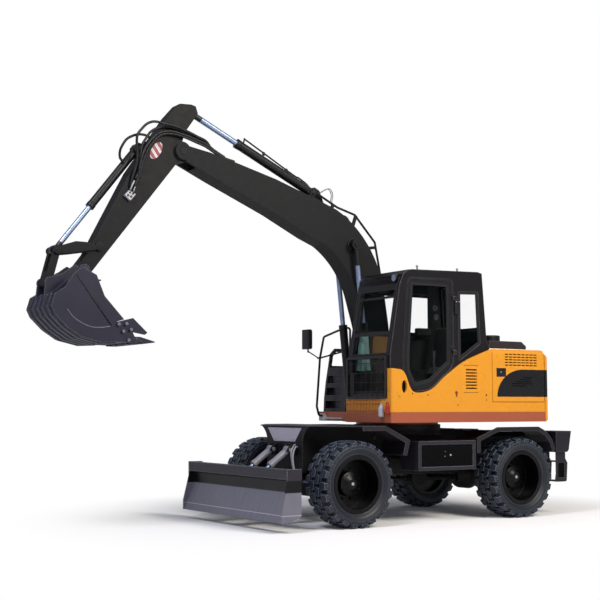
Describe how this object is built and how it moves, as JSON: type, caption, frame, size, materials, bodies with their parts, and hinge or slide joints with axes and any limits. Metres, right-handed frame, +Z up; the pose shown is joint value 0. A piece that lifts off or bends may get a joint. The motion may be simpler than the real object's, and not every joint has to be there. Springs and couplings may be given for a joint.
{
  "type": "wheeled excavator",
  "caption": "Wheeled excavator with raised boom, arm and toothed bucket, cab beside the boom, rounded tail, and a front blade under the chassis",
  "frame": {"origin": "on the ground under the middle of the machine's box", "axes": "+X forward to the bucket, +Y to the operator's left, +Z up"},
  "size_m": [7.32, 2.525, 5.215],
  "materials": {
    "yellow_paint": "satin",
    "brown_paint": "satin",
    "dark_paint": "satin",
    "boom_paint": "matte",
    "cab_paint": "satin",
    "grey_steel": "brushed",
    "rod_chrome": "polished",
    "black_casting": "cast",
    "engine_alloy": "cast",
    "tyre_rubber": "matte",
    "cab_glass": "clear",
    "seat_cloth": "woven",
    "black_plastic": "moulded"
  },
  "bodies": {
    "root": {"chassis": "dark_paint", "slew_ring": "grey_steel", "decks": "dark_paint", "side_boxes": "dark_paint", "rear_boxes": "dark_paint", "front_axle": "black_casting", "rear_axle": "black_casting", "drive_line": "black_casting"},
    "upper": {"house_frame": "brown_paint", "boom_brackets": "dark_paint", "counterweight": "yellow_paint", "side_panels": "yellow_paint", "engine_doors": "yellow_paint", "deck_covers": "yellow_paint", "hood": "yellow_paint", "top_box": "cab_paint", "engine_block": "engine_alloy", "right_tank": "dark_paint", "cab_shell": "cab_paint", "cab_glass": "cab_glass", "front_skirt": "yellow_paint", "front_guard": "dark_paint", "seat_stand": "black_plastic", "seat": "seat_cloth", "steering_column": "black_plastic", "handrail": "dark_paint"},
    "cab_door": {"cab_door": "cab_paint", "door_glass": "cab_glass"},
    "knuckle_left": {"knuckle_left": "black_casting"},
    "knuckle_right": {"knuckle_right": "black_casting"},
    "steering_rod": {"steering_rod": "rod_chrome"},
    "blade": {"blade": "dark_paint"},
    "blade_barrels": {"blade_barrels": "dark_paint"},
    "blade_rods": {"blade_rods": "rod_chrome"},
    "boom": {"boom": "boom_paint"},
    "boom_barrels": {"boom_barrels": "boom_paint"},
    "boom_rods": {"boom_rods": "rod_chrome"},
    "arm": {"arm": "boom_paint"},
    "arm_barrel": {"arm_barrel": "boom_paint"},
    "arm_rod": {"arm_rod": "rod_chrome"},
    "bucket": {"bucket": "boom_paint"},
    "bucket_barrel": {"bucket_barrel": "boom_paint"},
    "bucket_rod": {"bucket_rod": "rod_chrome"},
    "rocker": {"rocker": "boom_paint"},
    "link": {"link": "boom_paint"},
    "wheel_front_left": {"tyre_front_left": "tyre_rubber", "rim_front_left": "black_casting"},
    "wheel_front_right": {"tyre_front_right": "tyre_rubber", "rim_front_right": "black_casting"},
    "wheel_rear_left": {"tyre_rear_left": "tyre_rubber", "rim_rear_left": "black_casting"},
    "wheel_rear_right": {"tyre_rear_right": "tyre_rubber", "rim_rear_right": "black_casting"}
  },
  "joints": [
    {"name": "swing", "type": "hinge", "parent": "root", "child": "upper", "pos_m": [-1.525, 0, 1.24], "axis": [0, 0, 1], "continuous": true},
    {"name": "steer_left", "type": "hinge", "parent": "root", "child": "knuckle_left", "pos_m": [-0.025, 0.74, 0.53], "axis": [0, 0, 1], "range_deg": [-28, 28]},
    {"name": "steer_right", "type": "hinge", "parent": "root", "child": "knuckle_right", "pos_m": [-0.025, -0.74, 0.53], "axis": [0, 0, 1], "range_deg": [-28.5, 28.5]},
    {"name": "steer_slide", "type": "slide", "parent": "root", "child": "steering_rod", "axis": [0, 1, 0], "range_m": [-0.0912, 0.0912]},
    {"name": "roll_front_left", "type": "hinge", "parent": "knuckle_left", "child": "wheel_front_left", "pos_m": [-0.025, 0.992, 0.53], "axis": [0, 1, 0], "continuous": true},
    {"name": "roll_front_right", "type": "hinge", "parent": "knuckle_right", "child": "wheel_front_right", "pos_m": [-0.025, -0.992, 0.53], "axis": [0, 1, 0], "continuous": true},
    {"name": "roll_rear_left", "type": "hinge", "parent": "root", "child": "wheel_rear_left", "pos_m": [-2.725, 0.992, 0.53], "axis": [0, 1, 0], "continuous": true},
    {"name": "roll_rear_right", "type": "hinge", "parent": "root", "child": "wheel_rear_right", "pos_m": [-2.725, -0.992, 0.53], "axis": [0, 1, 0], "continuous": true},
    {"name": "blade_lift", "type": "hinge", "parent": "root", "child": "blade", "pos_m": [0.365, 0, 0.47], "axis": [0, -1, 0], "range_deg": [-8, 20]},
    {"name": "blade_barrel_swing", "type": "hinge", "parent": "root", "child": "blade_barrels", "pos_m": [0.375, 0, 0.93], "axis": [0, -1, 0], "range_deg": [-4.36, 10.45]},
    {"name": "blade_rod_slide", "type": "slide", "parent": "blade_barrels", "child": "blade_rods", "axis": [0.8112, 0, -0.5848], "range_m": [-0.1386, 0.0566]},
    {"name": "boom_lift", "type": "hinge", "parent": "upper", "child": "boom", "pos_m": [-1.235, 0, 1.7], "axis": [0, -1, 0], "range_deg": [-62, 6]},
    {"name": "boom_barrel_swing", "type": "hinge", "parent": "upper", "child": "boom_barrels", "pos_m": [-0.909, 0, 1.48], "axis": [0, -1, 0], "range_deg": [-61.82, 6.25]},
    {"name": "boom_rod_slide", "type": "slide", "parent": "boom_barrels", "child": "boom_rods", "axis": [0.1094, 0, 0.994], "range_m": [-0.4091, 0.0414]},
    {"name": "arm_curl", "type": "hinge", "parent": "boom", "child": "arm", "pos_m": [1.86, 0, 4.605], "axis": [0, 1, 0], "range_deg": [-40, 57]},
    {"name": "arm_barrel_swing", "type": "hinge", "parent": "boom", "child": "arm_barrel", "pos_m": [-0.13, 0, 4.295], "axis": [0, 1, 0], "range_deg": [-2.91, 4.02]},
    {"name": "arm_rod_slide", "type": "slide", "parent": "arm_barrel", "child": "arm_rod", "axis": [0.9088, 0, 0.4173], "range_m": [-0.3099, 0.4408]},
    {"name": "bucket_curl", "type": "hinge", "parent": "arm", "child": "bucket", "pos_m": [3.13, 0, 3.055], "axis": [0, 1, 0], "range_deg": [-85, 30]},
    {"name": "rocker_swing", "type": "hinge", "parent": "arm", "child": "rocker", "pos_m": [2.943, 0, 3.347], "axis": [0, 1, 0], "range_deg": [-72.39, 25.74]},
    {"name": "link_swing", "type": "hinge", "parent": "rocker", "child": "link", "pos_m": [3.453, 0, 3.275], "axis": [0, 1, 0], "range_deg": [-20.36, 57.15]},
    {"name": "bucket_barrel_swing", "type": "hinge", "parent": "arm", "child": "bucket_barrel", "pos_m": [2.428, 0, 4.591], "axis": [0, 1, 0], "range_deg": [-11.2, 4.15]},
    {"name": "bucket_rod_slide", "type": "slide", "parent": "bucket_barrel", "child": "bucket_rod", "axis": [0.6145, 0, -0.7889], "range_m": [-0.5703, 0.2026]},
    {"name": "cab_door_swing", "type": "hinge", "parent": "upper", "child": "cab_door", "pos_m": [-1.531, 1.202, 2.5], "axis": [0, 0, 1], "range_deg": [0, 115]}
  ],
  "couplings": [
    {"joint": "steer_right", "follows": "steer_left", "ratio": 1},
    {"joint": "steer_slide", "follows": "steer_left", "m_per_rad": 0.1825},
    {"joint": "blade_barrel_swing", "follows": "blade_lift", "ratio": 0.5075},
    {"joint": "blade_rod_slide", "follows": "blade_lift", "m_per_rad": -0.3914},
    {"joint": "boom_barrel_swing", "follows": "boom_lift", "ratio": 0.9922},
    {"joint": "boom_rod_slide", "follows": "boom_lift", "m_per_rad": 0.3762},
    {"joint": "arm_barrel_swing", "follows": "arm_curl", "ratio": 0.0653},
    {"joint": "arm_rod_slide", "follows": "arm_curl", "m_per_rad": 0.4411},
    {"joint": "rocker_swing", "follows": "bucket_curl", "ratio": 0.8481},
    {"joint": "link_swing", "follows": "bucket_curl", "ratio": -0.6688},
    {"joint": "bucket_barrel_swing", "follows": "bucket_curl", "ratio": 0.1282},
    {"joint": "bucket_rod_slide", "follows": "bucket_curl", "m_per_rad": 0.38306}
  ]
}
